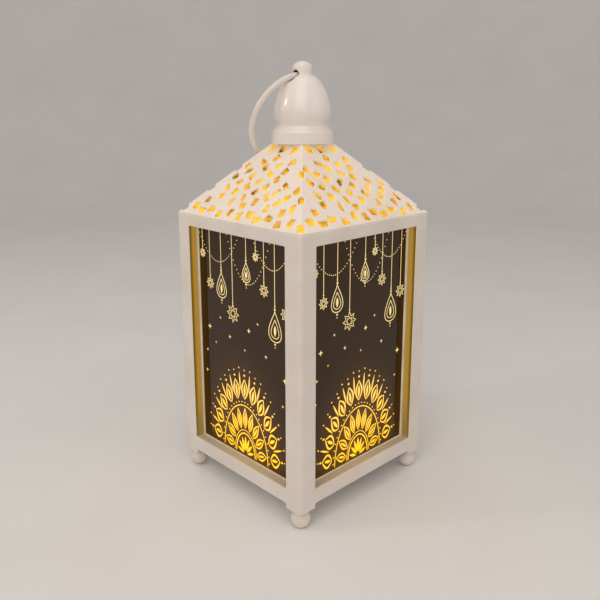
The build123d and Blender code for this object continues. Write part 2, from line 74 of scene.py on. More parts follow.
def grid_faces(rows, columns, wrap=False):
    """Four-cornered faces of a grid of points, row by row; wrap also joins the last column to the first."""
    number = np.arange(rows * columns).reshape(rows, columns)
    if wrap:
        number = np.concatenate([number, number[:, :1]], 1)
    faces = [number[:-1, :-1], number[:-1, 1:], number[1:, 1:], number[1:, :-1]]
    return np.stack(faces, -1).reshape(-1, 4)


print("faces of a grid of 3 by 3 points:", len(grid_faces(3, 3)))

# %% Pieces


def mesh_points(mesh):
    """A mesh's points as rows of x, y and z."""
    points = np.empty(3 * len(mesh.vertices), np.float32)
    mesh.vertices.foreach_get("co", points)
    return points.reshape(-1, 3)


def weld_points(mesh, reach=0.002 * mm):
    """Merge points that lie on each other, and turn all faces outwards."""
    work = bmesh.new()
    work.from_mesh(mesh)
    bmesh.ops.remove_doubles(work, verts=work.verts, dist=reach)
    bmesh.ops.recalc_face_normals(work, faces=work.faces)
    work.to_mesh(mesh)
    work.free()


def add_mesh(name, points, faces, material, smooth=180.0, weld=True):
    """Mesh object at the origin; edges sharper than smooth degrees stay crisp."""
    mesh = bpy.data.meshes.new(name)
    mesh.vertices.add(len(points))
    mesh.vertices.foreach_set("co", np.asarray(points, np.float32).ravel())
    mesh.loops.add(faces.size)
    mesh.loops.foreach_set("vertex_index", faces.astype(np.int32).ravel())
    mesh.polygons.add(len(faces))
    mesh.polygons.foreach_set("loop_start", np.arange(0, faces.size, faces.shape[1], dtype=np.int32))
    mesh.update(calc_edges=True)
    if weld:
        weld_points(mesh)
    mesh.shade_smooth()
    mesh.set_sharp_from_angle(angle=np.radians(smooth))
    mesh.materials.append(material)
    shape = bpy.data.objects.new(name, mesh)
    bpy.context.scene.collection.objects.link(shape)
    return shape


def add_piece(name, points, faces, material, body="lantern", slot="white_abs", **options):
    """Mesh object that rides on a body of the CAD model; slot is not used."""
    piece = add_mesh(name, points, faces, material, **options)
    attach(piece, body)
    return piece


def add_four(name, places, points, faces, material, **options):
    """The same piece at all four sides or corners, each a quarter turn on from the one before."""
    return [
        add_piece(f"{name}_{place}", turned(points, quarters), faces, material, **options)
        for quarters, place in enumerate(places)
    ]


# %% [markdown]
# ## Materials
#
# Colours are written as sRGB hex values, as one would pick them, and turned to linear light by one function.
# One small function adds a shader node and fills its inputs. Patterns hang on Object coordinates, so they
# stay on the plastic in every view.

# %% Colours and nodes


def linear(code):
    """Linear RGBA from an sRGB hex code: a straight part for dark values, above it a power of 2.4."""
    value = np.array([int(code[i:i + 2], 16) for i in (1, 3, 5)]) / 255
    value = np.where(value <= 0.04045, value / 12.92, ((value + 0.055) / 1.055) ** 2.4)
    return (*value.tolist(), 1.0)


def level(value):
    """A grey with this linear value, for a pattern that drives a number."""
    return (value, value, value, 1.0)


def feed(node, inputs):
    """Fill inputs, named or numbered, with values or links; a node stands for its first live output."""
    for key, value in inputs.items():
        if isinstance(value, bpy.types.Node):
            value = next(socket for socket in value.outputs if socket.enabled)
        if isinstance(value, bpy.types.NodeSocket):
            node.id_data.links.new(value, node.inputs[key])
        else:
            node.inputs[key].default_value = value


def add_node(tree, kind, inputs, **settings):
    """One shader node with its settings, and with its inputs filled."""
    made = tree.nodes.new("ShaderNode" + kind)
    for key, value in settings.items():
        setattr(made, key, value)
    feed(made, inputs)
    return made


def set_stops(ramp, *stops):
    """Give a colour ramp its stops, each a position and a linear colour."""
    elements = ramp.color_ramp.elements
    while len(elements) < len(stops):
        elements.new(0.5)
    for element, (position, colour) in zip(elements, stops):
        element.position = position
        element.color = colour


print("middle grey in linear light:", round(linear("#808080")[0], 3))

# %% Materials and patterns


def start_material(name, inputs):
    """A material, its node tree, its Principled surface with these inputs, and its Object coordinates."""
    material = bpy.data.materials.new(name)
    material.use_nodes = True
    tree = material.node_tree
    surface = tree.nodes["Principled BSDF"]
    feed(surface, inputs)
    return material, tree, surface, add_node(tree, "TexCoord", {}).outputs["Object"]


def mottle(tree, place, size, low, high):
    """Soft clouds about size across, as colours from low to high; the noise seldom leaves 0.3 to 0.7."""
    noise = add_node(tree, "TexNoise", {"Vector": place, "Scale": 1 / size, "Detail": 3.0})
    ramp = add_node(tree, "ValToRGB", {"Fac": noise})
    set_stops(ramp, (0.3, low), (0.7, high))
    return ramp


def grain(tree, surface, place, size, height):
    """Bumps of about this size across and this height."""
    noise = add_node(tree, "TexNoise", {"Vector": place, "Scale": 1 / size, "Detail": 2.0})
    bump = add_node(tree, "Bump", {"Height": noise, "Distance": height, "Strength": 1.0})
    feed(surface, {"Normal": bump})


print("materials in the file so far:", len(bpy.data.materials))

# %% [markdown]
# ### Moulded ABS
#
# The frame, roof and finial are ABS, moulded in cream white. The mould gives it a satin skin with a very
# slight orange peel, which shows as a soft wobble in the highlights. Real orange peel is finer than a pixel
# here, so it is drawn about a millimetre across. The colour drifts a little, as thick and thin walls cool
# differently. The roof is thin and lets some of the light inside through; a faint painted warm glow on its
# finish stands for that and makes the whole roof brighter.

# %% Moulded ABS
abs_dark, abs_pale, abs_rough, abs_ior = "#E6DCD1", "#EEE7E0", 0.38, 1.53
drift_size, gloss_size = 28 * mm, 9 * mm
gloss_below, gloss_above = 0.05, 0.07
peel_size, peel_height = 1.1 * mm, 0.02 * mm
roof_glow_colour, roof_glow_strength = "#FFE2C8", 0.14


def moulded_abs(name, dark=abs_dark, pale=abs_pale, rough=abs_rough):
    """Satin ABS: a slow drift of its colour, a quicker one of its gloss, and orange peel."""
    material, tree, surface, place = start_material(name, {"IOR": abs_ior})
    colour = mottle(tree, place, drift_size, linear(dark), linear(pale))
    gloss = mottle(tree, place, gloss_size, level(rough - gloss_below), level(rough + gloss_above))
    feed(surface, {"Base Color": colour, "Roughness": gloss})
    grain(tree, surface, place, peel_size, peel_height)
    return material, tree, surface, place


white_abs = moulded_abs("moulded_white_abs")[0]
roof_glow_abs, _, roof_glow_surface, _ = moulded_abs("moulded_white_abs_painted_glow")
# painted glow: a faint warm emission on the roof's finish that makes its web brighter
feed(roof_glow_surface, {"Emission Color": linear(roof_glow_colour), "Emission Strength": roof_glow_strength})
dark_abs = moulded_abs("moulded_dark_abs", dark="#1B1714", pale="#26211C", rough=0.55)[0]
print("finishes:", white_abs.name, roof_glow_abs.name, dark_abs.name)

# %% [markdown]
# ### ABS beside a light
#
# White ABS lets some light through. Where the panes' glowing edges sit in the posts, the plastic of the
# window's reveals turns amber, with painted olive shade at the outer face and low down. Light that scatters
# inside the plastic would be slow to render, so the frame's finish is the same ABS with a glow painted by
# position over a darker base, and painted shade on the ledge under each pane: `near` is the smaller of |x|
# and |y|, `far` the larger. The sizes that this takes are read from the CAD pieces' boxes.

# %% Sizes from the frame
post_low, post_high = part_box("post_front_left")
pane_low, pane_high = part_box("pane_front")
rail_low, rail_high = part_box("lower_rail_front")
half, post_inner = -post_low.x, -post_high.x
post_bottom, frame_top = post_low.z, post_high.z
rail_bottom, ledge_top = rail_low.z, rail_high.z
window_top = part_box("upper_rail_front")[0].z
pane_front, pane_back = -pane_low.y, -pane_high.y
hinge = next(joint["pos_m"] for joint in frame["joints"] if joint["name"] == "ring_swing")
print("window", round(2 * post_inner / mm, 1), "by", round((window_top - ledge_top) / mm, 1), "mm")

# %% Masks by position


def folded(tree, place):
    """Sockets for |x|, |y| and z, which are the same on all four sides."""
    spread = add_node(tree, "VectorMath", {0: place}, operation="ABSOLUTE")
    return add_node(tree, "SeparateXYZ", {"Vector": spread}).outputs


def all_hold(tree, *tests):
    """One where all tests hold, else nought: the product of Math nodes, each an operation on values."""
    mask = 1.0
    for operation, *values in tests:
        test = add_node(tree, "Math", dict(enumerate(values)), operation=operation)
        mask = add_node(tree, "Math", {0: mask, 1: test}, operation="MULTIPLY")
    return mask


print("reveals:", round(post_inner / mm, 1), "mm from the middle")

# %% ABS beside a light
reveal_reach, reveal_start, reveal_glow = 0.2 * mm, 0.4 * mm, 0.75
ledge_shade_reach, ledge_shade_start = 0.3 * mm, 1.1 * mm
foot_height, foot_share = 30 * mm, 0.75


def reveal_colour(tree, far, z):
    """Painted glow: olive shade at the reveals' outer face, then orange, beige beside the pane, duller low down.
    """
    inward = {"Value": far, "From Min": half, "From Max": pane_front}
    inward = add_node(tree, "MapRange", inward, interpolation_type="SMOOTHSTEP")
    glow = add_node(tree, "ValToRGB", {"Fac": inward})
    outer_half = (0.0, linear("#5A4A20")), (0.18, linear("#8A6A1C")), (0.38, linear("#C08C12"))
    inner_half = (0.62, linear("#B88A2C")), (0.85, linear("#A88A54")), (1.0, linear("#A09070"))
    set_stops(glow, *outer_half, *inner_half)
    low = {"Value": z, "From Min": ledge_top + foot_height, "From Max": ledge_top, "To Max": foot_share}
    low = add_node(tree, "MapRange", low, interpolation_type="SMOOTHSTEP")
    return add_node(tree, "Mix", {"Factor": low, "A": glow, "B": linear("#7E6C3C")}, data_type="RGBA")


def frame_abs():
    """White ABS with a painted glow over a darker base on its reveals, and painted shade on each ledge.

    A reveal is where near is the posts' inner face, z is inside the window and far is behind the outer face.
    """
    material, tree, surface, place = moulded_abs("moulded_white_abs_lit")
    plain = surface.inputs["Base Color"].links[0].from_socket
    x, y, z = folded(tree, place)
    near = add_node(tree, "Math", {0: x, 1: y}, operation="MINIMUM")
    far = add_node(tree, "Math", {0: x, 1: y}, operation="MAXIMUM")
    reveal = all_hold(
        tree,
        ("COMPARE", near, post_inner, reveal_reach),
        ("COMPARE", z, (window_top + ledge_top) / 2, (window_top - ledge_top) / 2),
        ("LESS_THAN", far, half - reveal_start),
    )
    # painted shade: the ledge under each pane, inside the recess, is mixed to a darker beige
    ledge_shade = all_hold(tree, ("COMPARE", z, ledge_top, ledge_shade_reach), ("LESS_THAN", far, half - ledge_shade_start))
    base = add_node(tree, "Mix", {"Factor": ledge_shade, "A": plain, "B": linear("#C8BEAE")}, data_type="RGBA")
    # painted shade under the painted glow: the reveals' base colour is mixed to a dark brown
    base = add_node(tree, "Mix", {"Factor": reveal, "A": base, "B": linear("#4A3510")}, data_type="RGBA")
    strength = add_node(tree, "Math", {0: reveal, 1: reveal_glow}, operation="MULTIPLY")
    glow = reveal_colour(tree, far, z)
    feed(surface, {"Base Color": base, "Emission Color": glow, "Emission Strength": strength})
    return material


lit_abs = frame_abs()
print("finish:", lit_abs.name)

# %% [markdown]
# The finial is the same plastic, polished. Inside the knob's cross hole it is in shade, and since the hole is
# only a few pixels wide, its inside is simply darkened.

# %% Polished ABS
hole_reach, hole_blur = 2.6 * mm, 0.15 * mm


def finial_abs():
    """Polished ABS, dark within hole_reach of the cross hole's middle line, which runs along y."""
    material, tree, surface, place = moulded_abs("polished_white_abs", "#EFE8E1", "#F5F0EB", rough=0.2)
    plain = surface.inputs["Base Color"].links[0].from_socket
    section = add_node(tree, "VectorMath", {0: place, 1: (1, 0, 1)}, operation="MULTIPLY")
    away = add_node(tree, "VectorMath", {0: section, 1: (0, 0, hinge[2])}, operation="DISTANCE")
    spans = {"Value": away, "From Min": hole_reach + hole_blur, "From Max": hole_reach - hole_blur}
    in_hole = add_node(tree, "MapRange", spans, interpolation_type="SMOOTHSTEP")
    base = add_node(tree, "Mix", {"Factor": in_hole, "A": plain, "B": linear("#1C1712")}, data_type="RGBA")
    feed(surface, {"Base Color": base})
    return material


gloss_abs = finial_abs()
print("finish:", gloss_abs.name)

# %% [markdown]
# ### Acrylic and light
#
# The panes are cast acrylic with a smoked tint: nearly black, with the sharp reflections of a polished sheet
# and a few wiped smears. The engraving is frosted by the laser, so it scatters the light that runs inside the
# sheet: brightest in the middle of a cut, amber at its edges, and weaker and paler the further it is from the
# LEDs at the bottom. A milky strip along each pane's edge catches some of that light too.

# %% Smoked acrylic
fan_tall = 1.55
fan_foot_level = ledge_top + 2.2 * mm
tint_size, smear_size, bead_blotch = 40 * mm, 18 * mm, 12 * mm
haze_reach, haze_core = 48 * mm, 12 * mm
haze_weak, haze_strong = 0.026, 0.17


def smoked_acrylic():
    """Polished dark sheet with smears in its gloss, and an amber haze that fades away from the lit fan.

    The haze falls off with the length of (across, up / fan_tall), measured from the fan's foot.
    """
    steady = {"IOR": 1.55, "Specular IOR Level": 0.25, "Emission Color": linear("#C27A1C")}
    material, tree, surface, place = start_material("smoked_cast_acrylic", steady)
    tint = mottle(tree, place, tint_size, linear("#22180A"), linear("#281C0E"))
    smears = mottle(tree, place, smear_size, level(0.04), level(0.11))
    x, y, z = folded(tree, place)
    across = add_node(tree, "Math", {0: x, 1: y}, operation="MINIMUM")
    up = {0: z, 1: 1 / fan_tall, 2: -fan_foot_level / fan_tall}
    up = add_node(tree, "Math", up, operation="MULTIPLY_ADD")
    from_foot = add_node(tree, "CombineXYZ", {"X": across, "Y": up})
    away = add_node(tree, "VectorMath", {0: from_foot}, operation="LENGTH")
    spans = {"Value": away, "From Min": haze_reach, "From Max": haze_core}
    spans |= {"To Min": haze_weak, "To Max": haze_strong}
    haze = add_node(tree, "MapRange", spans, interpolation_type="SMOOTHSTEP")
    feed(surface, {"Base Color": tint, "Roughness": smears, "Emission Strength": haze})
    return material


def milky_bead():
    """Soft milky plastic strip that the pane's edge lights up: beige, in blotches."""
    steady = {"Roughness": 0.45, "Emission Strength": 0.25}
    material, tree, surface, place = start_material("milky_pvc_bead", steady)
    colour = mottle(tree, place, bead_blotch, linear("#C4B28C"), linear("#DACBAA"))
    feed(surface, {"Base Color": colour, "Emission Color": colour})
    return material


acrylic = smoked_acrylic()
bead_pvc = milky_bead()
print("finishes:", acrylic.name, bead_pvc.name)

# %% Lit engraving
lit_from, lit_to = ledge_top + 15 * mm, ledge_top + 95 * mm
core_start, weakest = 0.7, 0.7


def lit_engraving():
    """Frosted cut: from edge to middle by the stroke's own attribute, dimmer and paler towards the top."""
    material, tree, surface, place = start_material("frosted_engraving_lit", {"Roughness": 0.6})
    core = add_node(tree, "Attribute", {}, attribute_name="core").outputs["Fac"]
    upright = add_node(tree, "SeparateXYZ", {"Vector": place}).outputs["Z"]
    spans = {"Value": upright, "From Min": lit_from, "From Max": lit_to}
    height = add_node(tree, "MapRange", spans)
    strength = add_node(tree, "MapRange", {**spans, "To Min": 1.0, "To Max": weakest})
    strong = add_node(tree, "ValToRGB", {"Fac": core})
    weak = add_node(tree, "ValToRGB", {"Fac": core})
    set_stops(strong, (0.0, linear("#C88200")), (core_start, linear("#F6C81E")))
    set_stops(weak, (0.0, linear("#A88848")), (core_start, linear("#E6D39C")))
    colour = add_node(tree, "Mix", {"Factor": height, "A": strong, "B": weak}, data_type="RGBA")
    feed(surface, {"Base Color": colour, "Emission Color": colour, "Emission Strength": strength})
    return material


engraving = lit_engraving()
print("finish:", engraving.name)

# %% [markdown]
# ### The roof's liner and the small parts
#
# Behind the roof is a sheet of translucent amber plastic with LEDs under it. It glows yellow, with deeper
# orange patches away from the LEDs. The ring is steel wire under white enamel. The rest is out of sight
# unless the lantern is turned over: plated steel, circuit board, LED lenses, the cells' sleeves and the lead.
# One function serves all of these, as they differ only in colour, gloss and the size of their blotches.

# %% Liner, enamel and small parts
film_blotch = 7 * mm
grain_share, grain_height = 0.1, 0.01 * mm


def glowing_film():
    """Amber film lit from behind: blotches from yellow to orange, with a few dark patches."""
    steady = {"Roughness": 0.5, "Emission Strength": 0.58}
    material, tree, surface, place = start_material("translucent_amber_film", steady)
    noise = add_node(tree, "TexNoise", {"Vector": place, "Scale": 1 / film_blotch, "Detail": 2.0})
    colour = add_node(tree, "ValToRGB", {"Fac": noise})
    # dark patches: the lowest stops of the ramp are a dark olive brown, where the glow is dim
    dark_patches = (0.3, linear("#4E3F12")), (0.36, linear("#B0841C"))
    set_stops(colour, *dark_patches, (0.45, linear("#CE9C1E")), (0.6, linear("#E2BC34")))
    feed(surface, {"Base Color": colour, "Emission Color": colour})
    return material


def plain_finish(name, dark, pale, rough, size, metal=0.0):
    """Small-part finish: two close colours in blotches of a size in mm, and a grain a tenth of that."""
    material, tree, surface, place = start_material(name, {"Roughness": rough, "Metallic": metal})
    feed(surface, {"Base Color": mottle(tree, place, size * mm, linear(dark), linear(pale))})
    grain(tree, surface, place, grain_share * size * mm, grain_height)
    return material


film = glowing_film()
enamel = moulded_abs("white_enamel_on_steel_wire", "#E9E1D8", "#F0E9E2", rough=0.2)[0]
lens = plain_finish("warm_led_lens", "#FFC861", "#FFE0A0", rough=0.15, size=2)
lens_glow = {"Emission Color": linear("#FFD27A"), "Emission Strength": 1.0}
feed(lens.node_tree.nodes["Principled BSDF"], lens_glow)
small_parts = {
    "warm_led": lens,
    "nickel_plate": plain_finish("nickel_plated_steel", "#A9A59B", "#C4C0B6", rough=0.28, size=4, metal=1.0),
    "zinc_plate": plain_finish("zinc_plated_steel", "#8F9396", "#B3B6B8", rough=0.35, size=3, metal=1.0),
    "circuit_board": plain_finish("white_solder_resist", "#D9DAD2", "#E6E6DF", rough=0.45, size=6),
    "cell_sleeve": plain_finish("shrink_sleeve_pvc", "#30383C", "#414B50", rough=0.3, size=8),
    "lead_pvc": plain_finish("soft_black_pvc", "#141414", "#222222", rough=0.5, size=3),
}
print("finishes:", film.name, enamel.name, *[finish.name for finish in small_parts.values()])

# %% [markdown]
# ### Finishes for the CAD pieces that stay
#
# Flat pieces whose CAD shape is right keep it and only get a finish. Each slot of the record has one.

# %% Finish the CAD nodes
large_parts = {"white_abs": white_abs, "dark_abs": dark_abs, "smoked_acrylic": acrylic}
finish_of_slot = {**large_parts, "amber_film": film, "white_wire": enamel, **small_parts}
for part in frame["record"]["subparts"]:
    cad_mesh = frame["nodes"][part["node"]].data
    cad_mesh.materials.clear()
    cad_mesh.materials.append(finish_of_slot[part["material_slot"]])

# %% [markdown]
# ## The frame
#
# Posts and rails look like one moulding, with no seam where they meet. They could be joined boxes, but boxes
# that meet leave grooves once their edges are rounded. Instead space is cut into a few blocks by the frame's
# own levels, each block is either plastic or air, and a face is laid wherever plastic meets air. Two bevels
# then round it: a large one on the four outer corners and a small one on every other edge.

# %% Blocks


def faces_between(filled):
    """Faces between filled and empty blocks: along each axis, wherever a block and the next one differ."""
    size = np.array(filled.shape) + 1
    number = np.arange(size.prod()).reshape(size)
    padded = np.pad(filled, 1).astype(int)
    faces = []
    for axis in range(3):
        step = np.moveaxis(np.diff(padded, axis=axis), axis, 0)[:, 1:-1, 1:-1]
        corner = np.moveaxis(number, axis, 0)
        ring = [corner[:, :-1, :-1], corner[:, 1:, :-1], corner[:, 1:, 1:], corner[:, :-1, 1:]]
        quads = np.stack(ring, -1)
        faces += [quads[step == -1], quads[step == 1][:, ::-1]]
    return np.concatenate(faces)


def blocks(filled, x, y, z):
    """Points and faces of the filled blocks among those that the planes at x, y and z cut out of space."""
    points = np.stack(np.meshgrid(x, y, z, indexing="ij"), -1).reshape(-1, 3)
    used, faces = np.unique(faces_between(filled), return_inverse=True)
    return points[used], faces.reshape(-1, 4)


print("faces of one block:", len(faces_between(np.ones((1, 1, 1)))))

# %% Frame
slot_gap, slot_headroom, flange_thickness = 0.1 * mm, 0.5 * mm, 1.5 * mm
corner_round, edge_round, on_face = 2.4 * mm, 0.55 * mm, 0.01 * mm


def lantern_frame():
    """Posts and rails: near and far are the smaller and the larger of |x| and |y| in a block's middle."""
    entry = -pane_low.x + slot_gap
    slot_front, slot_back = pane_front + slot_gap, pane_back - slot_gap
    slot_top = pane_high.z + slot_headroom
    flange_top = rail_bottom + flange_thickness
    plan = np.array([post_inner, entry, slot_back, slot_front, half])
    plan = np.concatenate([-plan[::-1], plan])
    low_levels = [post_bottom, rail_bottom, flange_top, pane_low.z, ledge_top]
    levels = np.array([*low_levels, window_top, slot_top, frame_top])
    middle = (plan[1:] + plan[:-1]) / 2
    x, y, z = np.meshgrid(middle, middle, (levels[1:] + levels[:-1]) / 2, indexing="ij")
    near, far = np.minimum(abs(x), abs(y)), np.maximum(abs(x), abs(y))
    in_slot = (far > slot_back) & (far < slot_front)
    post = (near > post_inner) & ~(in_slot & (near < entry) & (z > pane_low.z))
    wall = (far > post_inner) & (near < post_inner)
    upper = wall & (z > window_top) & ~(in_slot & (z < slot_top))
    lower = wall & (z > rail_bottom) & (z < ledge_top) & ((far > slot_front) | (z < flange_top))
    return blocks(post | upper | lower, plan, plan, levels)


def add_bevel(piece, name, width, segments, **settings):
    """Round edges by a width in so many steps."""
    bevel = piece.modifiers.new(name, "BEVEL")
    bevel.width = width
    bevel.segments = segments
    bevel.use_clamp_overlap = False
    bevel.miter_outer = "MITER_ARC"
    for key, value in settings.items():
        setattr(bevel, key, value)


frame_points, frame_faces = lantern_frame()
frame_piece = add_piece("lantern_frame", frame_points, frame_faces, lit_abs, smooth=35.0)
at_corner = (abs(mesh_points(frame_piece.data)[:, :2]) > half - on_face).all(1)
outer = frame_piece.vertex_groups.new(name="outer_corner")
outer.add(np.flatnonzero(at_corner).tolist(), 1.0, "REPLACE")
at_group = {"limit_method": "VGROUP", "vertex_group": outer.name}
sharp_edges = {"limit_method": "ANGLE", "angle_limit": np.radians(40)}
add_bevel(frame_piece, "outer corners", corner_round, segments=6, **at_group)
add_bevel(frame_piece, "all edges", edge_round, segments=3, harden_normals=True, **sharp_edges)
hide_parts(*[f"post_{corner}" for corner in corners])
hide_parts(*[f"upper_rail_{side}" for side in sides], *[f"lower_rail_{side}" for side in sides])
print("frame:", len(frame_faces), "faces before its bevels")

# %% [markdown]
# A strip of milky plastic holds each pane along its sides and its lower edge. It is made of blocks too, one U
# for each side.

# %% Pane beads
bead_round = 0.2 * mm


def pane_bead(wide=1.8 * mm, tall=1.0 * mm, thick=0.6 * mm):
    """U-shaped strip on the front pane: a block beside each post and one along the ledge."""
    x = np.array([-post_inner, wide - post_inner, post_inner - wide, post_inner])
    y = np.array([-pane_front - thick, -pane_front])
    z = np.array([ledge_top, ledge_top + tall, window_top])
    return blocks(np.array([[[1, 1]], [[1, 0]], [[1, 1]]]), x, y, z)


for strip in add_four("pane_bead", sides, *pane_bead(), bead_pvc, smooth=35.0):
    add_bevel(strip, "soft edges", bead_round, segments=2, **sharp_edges)
print("beads:", len(sides))

# %% [markdown]
# ## The pierced roof
#
# Each roof face is a thick moulding full of uneven four-cornered openings, like pebbles, and its edges roll
# softly into every one of them. A boolean would leave hard rims. Here the face is a fine grid that knows the
# distance to the nearest opening: grid points close to a rim are moved onto it, what lies inside is left out,
# and the surface sinks along a quarter ellipse as it comes near the rim. The same grid, flat, makes the
# underside, and the rims are joined by walls. The openings come first, as complex numbers: across plus i
# times up the slope.

# %% Sizes of the roof
roof_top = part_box("finial")[0].z
top_half = 13.0 * mm
thickness = 1.2 * mm
rise, run = roof_top - frame_top, half - top_half
slope_length = np.hypot(rise, run)
slope_cos, slope_sin = run / slope_length, rise / slope_length
eave_length, eave_width, eave_web = 4.7 * mm, 5.8 * mm, 2.6 * mm
eave_height, eave_zigzag, eave_lean = 6.1 * mm, 1.1 * mm, np.radians(30)
top_length, top_width, top_row_web = 6.2 * mm, 4.8 * mm, 5.2 * mm
top_row_edge, top_lean = 1.2 * mm, np.radians(10)
top_row_foot = slope_length - top_row_edge - top_length
hip_height, hip_pitch = 5.2 * mm, 16.9 * mm
opening_length, opening_width, opening_pitch = 5.3 * mm, 4.3 * mm, 8.0 * mm
opening_web, row_web, hip_web, top_web = 1.3 * mm, 0.1 * mm, 0.6 * mm, 0.3 * mm
swell_share, corner_drift, opening_lean = 0.2, 0.33, np.radians(65)
corner_radius = 0.8 * mm
field_start, swell_rate, lean_rate, corner_rate = 0.86, 1.1, 3.1, 1.3
print("roof slope:", round(slope_length / mm, 1), "mm long")

# %% Rows of openings


def core_corners(width, length):
    """Middles of an opening's four rounded corners, anticlockwise about its centre."""
    x, y = width / 2 - corner_radius, 1j * (length / 2 - corner_radius)
    return np.stack([x - y, x + y, y - x, -x - y])


def varied(spots, lean, width, length):
    """Rows of centres, leans and corners, all varied by sines of the openings' numbers."""
    number = np.arange(len(spots))
    swell = 1 + swell_share * np.sin(swell_rate * number)
    drift = 1 + corner_drift * np.sin(corner_rate * (4 * number + np.arange(4)[:, None]))
    leans = lean * np.sin(lean_rate * number)
    return np.stack([spots, leans, *(drift * core_corners(width * swell, length / swell))])


def hip_openings():
    """Openings folded over both hips, evenly up the slope; the lowest is as wide as those at the eave."""
    up = np.arange(hip_height, top_row_foot, hip_pitch)
    side = np.array([[-1], [1]])
    spots = side * (half - up * slope_cos) + 1j * up
    width = np.where(up == hip_height, eave_width, opening_width)
    four = core_corners(width, opening_length)
    return np.stack(np.broadcast_arrays(spots, side * np.arctan(slope_cos), *four)).reshape(6, -1)


def row_openings(height, zigzag, lean, width, length, web, end):
    """Row across the face, one opening up and the next one down, whose middles stay clear of the hips."""
    pitch = width + web
    index = np.arange(int(2 * (half - height * slope_cos - end) / pitch) + 1)
    spots = (index - index[-1] / 2) * pitch + 1j * (height + zigzag * (-1.0) ** index)
    return varied(spots, lean, width, length)


eave_end, top_end = eave_width + eave_web, top_width / 2 + hip_web
eave_row = row_openings(eave_height, eave_zigzag, eave_lean, eave_width, eave_length, eave_web, eave_end)
top_height = top_row_foot + top_length / 2
top_row = row_openings(top_height, 0, top_lean, top_width, top_length, top_row_web, top_end)
border = np.concatenate([hip_openings(), eave_row, top_row], 1)
print("openings along a roof face's edges:", border.shape[1])

# %% Field of openings


def field_openings(others):
    """Field like a sunflower's seeds: up the slope by equal areas, across it by the golden ratio."""
    low = eave_height + (eave_length + opening_length) / 2 + row_web
    span = top_row_foot - top_web - opening_length / 2 - low
    edge = opening_length / 2 + hip_web
    wide = half - low * slope_cos - edge
    area = wide * span - slope_cos * span ** 2 / 2
    index = np.arange(int(2 * area / opening_pitch ** 2))
    share = (index + 0.5) / len(index)
    up = low + (wide - np.sqrt(wide ** 2 - 2 * slope_cos * share * area)) / slope_cos
    golden_ratio = (np.sqrt(5) - 1) / 2
    across = (2 * ((golden_ratio * index + field_start) % 1) - 1) * (half - up * slope_cos - edge)
    field = varied(across + 1j * up, opening_lean, opening_width, opening_length)
    clear = abs(field[0][:, None] - others[0]).min(1) > opening_length + opening_web
    return field[:, clear]


centres, leans, *middles = np.concatenate([border, field_openings(border)], 1)
turns, middles = np.exp(1j * leans.real), np.stack(middles, 1)
print("openings in a roof face:", len(centres))

# %% Distance to a rim
nearby, tiny = 3, 1e-9


def rim_distance(spot):
    """Distance to the nearest opening's rim, negative inside it, and the way straight out of it.

    A rim runs one corner radius outside the four sides between the corners' middles. Of the few openings with
    the closest centres, the nearest point of each side is found, and the shortest way from there is kept.
    """
    closest = np.argpartition(abs(spot[..., None] - centres), nearby, -1)[..., :nearby]
    start = middles[closest]
    side = np.roll(start, -1, -1) - start
    off = ((spot[..., None] - centres[closest]) / turns[closest])[..., None] - start
    within = ((off * side.conj()).imag > 0).all(-1)
    off = off - side * np.clip((off / side).real, 0, 1) + tiny
    off = np.take_along_axis(off, abs(off).argmin(-1)[..., None], -1)[..., 0] * np.where(within, -1, 1)
    distance = abs(off) * np.where(within, -1, 1) - corner_radius
    nearest = distance.argmin(-1)[..., None]
    way = np.take_along_axis(off / abs(off) * turns[closest], nearest, -1)
    return np.take_along_axis(distance, nearest, -1)[..., 0], way[..., 0]


face_middle = np.array([1j * slope_length / 2])
print("from the face's middle to a rim:", round(rim_distance(face_middle)[0][0] / mm, 2), "mm")

# %% Roof grid
rim_roll, rim_sink = 0.7 * mm, 0.35 * mm
hip_roll, hip_sink = 0.5 * mm, 0.35 * mm
eave_roll, eave_sink = 0.6 * mm, 0.5 * mm
deepest = 0.8 * thickness
eave_inset, mitre_gap = 0.5 * mm / slope_cos, 0.05 * mm


def sunk(distance, reach, deep):
    """How deep a rolled edge lies at a distance from its rim: a quarter ellipse, so long and so deep."""
    inset = 1 - np.clip(distance / reach, 0, 1)
    return deep * (1 - np.sqrt(1 - inset ** 2))


def roof_skin(columns=280, rows=150):
    """Grid of the front face's skin: across by shares of its width at each height, up by even steps.

    Points near a rim are moved onto it, in two passes.
    """
    up = np.linspace(eave_inset, slope_length, rows)[:, None]
    width = half - up * slope_cos - mitre_gap
    spot = np.linspace(-1, 1, columns) * width + 1j * up
    distance, way = rim_distance(spot)
    step = 2 * width / columns * abs(way.real) + slope_length / rows * abs(way.imag)
    on_rim = abs(distance) < step / 2
    for _ in range(2):
        spot = np.where(on_rim, spot - distance * way, spot)
        distance, way = rim_distance(spot)
    inside = (distance < 0) & ~on_rim
    width = half - spot.imag * slope_cos - mitre_gap
    from_hip = (width - abs(spot.real)) / np.hypot(1, slope_cos)
    depth = sunk(np.where(on_rim, 0, distance), rim_roll, rim_sink) + sunk(from_hip, hip_roll, hip_sink)
    depth = np.minimum(depth + sunk(spot.imag - eave_inset, eave_roll, eave_sink), deepest)
    return spot, depth, width, inside.ravel(), on_rim.ravel()


def under_side(spot, width, drawn=5 * mm):
    """The same points on the underside, drawn in towards the hips' mitres and the level lower edge."""
    mitre = thickness * slope_sin
    hip_share = np.clip((abs(spot.real) - width + drawn) / drawn, 0, 1)
    across = spot.real - np.sign(spot.real) * mitre * hip_share
    lift = thickness * slope_cos / slope_sin - eave_inset
    return across + 1j * (spot.imag + lift * np.clip(1 - spot.imag / drawn, 0, 1))


spot, depth, width, inside, on_rim = roof_skin()
print("roof grid:", spot.shape, "with", on_rim.sum(), "points on rims")

# %% Roof skins


